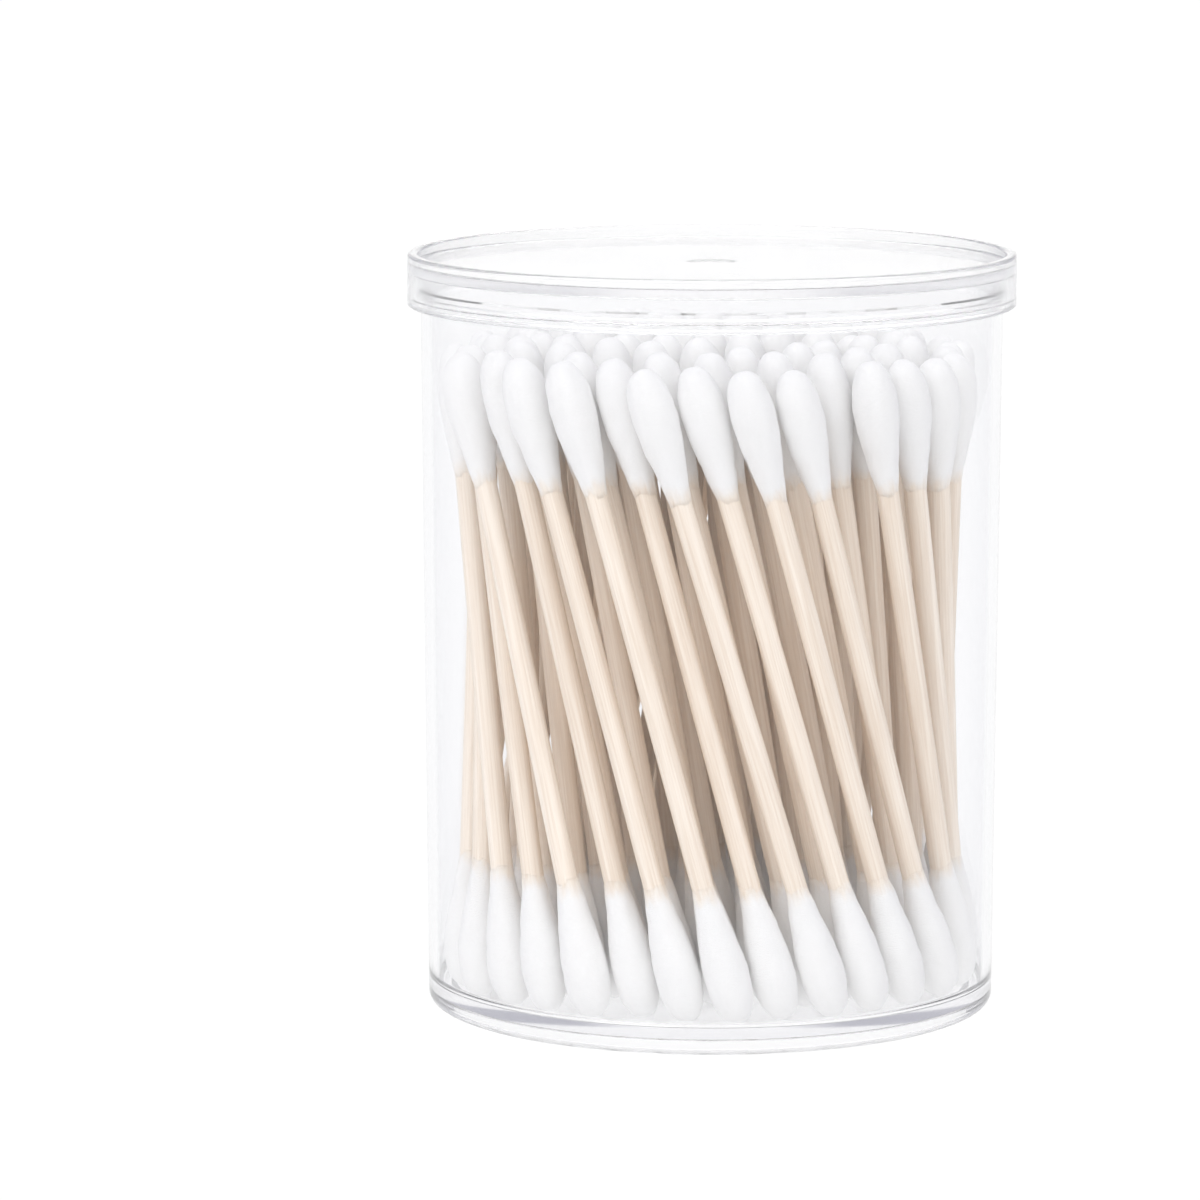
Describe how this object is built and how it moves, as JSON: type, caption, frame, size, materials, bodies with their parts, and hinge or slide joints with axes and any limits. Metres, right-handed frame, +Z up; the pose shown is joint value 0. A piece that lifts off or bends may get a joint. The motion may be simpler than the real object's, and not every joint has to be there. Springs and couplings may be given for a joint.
{
  "type": "cotton swab tub",
  "caption": "Clear round plastic tub with a push-on lid, filled with wooden cotton swabs standing on end in a twisted bundle.",
  "frame": {"origin": "on the surface the tub stands on, at the axis of the tub", "axes": "+Z up along the tub's axis, towards the lid"},
  "size_m": [0.068, 0.068, 0.085],
  "materials": {
    "tub_plastic": "crystal clear, glossy, moulded",
    "lid_plastic": "clear, slightly milky, moulded",
    "wood": "bare pale wood, fine lengthwise grain",
    "cotton": "wound cotton fibre, matt"
  },
  "bodies": {
    "tub": {"tub": "tub_plastic", "sticks_01": "wood", "sticks_02": "wood", "sticks_03": "wood", "sticks_04": "wood", "sticks_05": "wood", "sticks_06": "wood", "sticks_07": "wood", "sticks_08": "wood", "sticks_09": "wood", "sticks_10": "wood", "sticks_11": "wood", "sticks_12": "wood", "sticks_13": "wood", "sticks_14": "wood", "sticks_15": "wood", "sticks_16": "wood", "sticks_17": "wood", "sticks_18": "wood", "sticks_19": "wood", "bottom_buds_01": "cotton", "bottom_buds_02": "cotton", "bottom_buds_03": "cotton", "bottom_buds_04": "cotton", "bottom_buds_05": "cotton", "bottom_buds_06": "cotton", "bottom_buds_07": "cotton", "bottom_buds_08": "cotton", "bottom_buds_09": "cotton", "bottom_buds_10": "cotton", "bottom_buds_11": "cotton", "bottom_buds_12": "cotton", "bottom_buds_13": "cotton", "bottom_buds_14": "cotton", "bottom_buds_15": "cotton", "bottom_buds_16": "cotton", "bottom_buds_17": "cotton", "bottom_buds_18": "cotton", "bottom_buds_19": "cotton", "top_buds_01": "cotton", "top_buds_02": "cotton", "top_buds_03": "cotton", "top_buds_04": "cotton", "top_buds_05": "cotton", "top_buds_06": "cotton", "top_buds_07": "cotton", "top_buds_08": "cotton", "top_buds_09": "cotton", "top_buds_10": "cotton", "top_buds_11": "cotton", "top_buds_12": "cotton", "top_buds_13": "cotton", "top_buds_14": "cotton", "top_buds_15": "cotton", "top_buds_16": "cotton", "top_buds_17": "cotton", "top_buds_18": "cotton", "top_buds_19": "cotton"},
    "lid": {"lid": "lid_plastic"}
  },
  "joints": [
    {"name": "lid_lift", "type": "slide", "parent": "tub", "child": "lid", "axis": [0, 0, 1], "range_m": [0, 0.04]}
  ]
}
